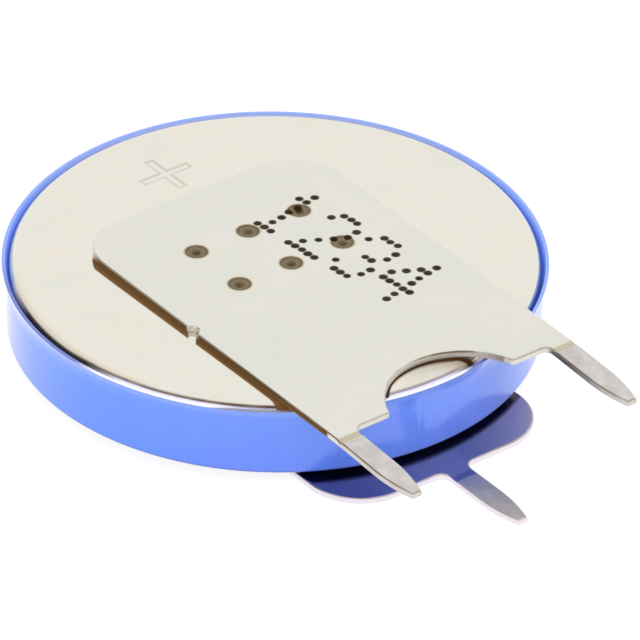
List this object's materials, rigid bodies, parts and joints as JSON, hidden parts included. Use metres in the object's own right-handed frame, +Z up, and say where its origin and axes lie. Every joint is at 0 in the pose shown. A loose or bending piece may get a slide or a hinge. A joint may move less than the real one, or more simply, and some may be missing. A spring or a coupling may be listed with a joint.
{
  "type": "lithium coin cell",
  "caption": "Flat round lithium cell in a blue insulating sleeve, with metal tags welded to both faces whose narrow pins solder into a circuit board.",
  "frame": {"origin": "on the cell's axis, on the underside of the negative tag", "axes": "+Z up through the cell to the positive face, -Y the way the pins point, +X across the two positive pins"},
  "size_m": [0.0206, 0.0257, 0.0037],
  "materials": {
    "can_steel": "smooth bright nickel plate on steel, a plus sign stamped into it",
    "cap_steel": "fine-grained stainless steel",
    "gasket_plastic": "translucent white polypropylene",
    "mesh_steel": "plain steel mesh",
    "cathode_powder": "dull pressed powder",
    "separator_sheet": "thin non-woven sheet",
    "lithium_metal": "soft dull metal foil",
    "sleeve_plastic": "smooth, slightly creased blue film",
    "tag_steel": "smooth bright nickel plate, dark round weld marks"
  },
  "bodies": {
    "root": {"positive_can": "can_steel", "negative_cap": "cap_steel", "sealing_gasket": "gasket_plastic", "cathode_collector": "mesh_steel", "cathode_pellet": "cathode_powder", "separator": "separator_sheet", "lithium_anode": "lithium_metal", "insulating_sleeve": "sleeve_plastic", "positive_tag": "tag_steel", "negative_tag": "tag_steel"}
  },
  "joints": []
}
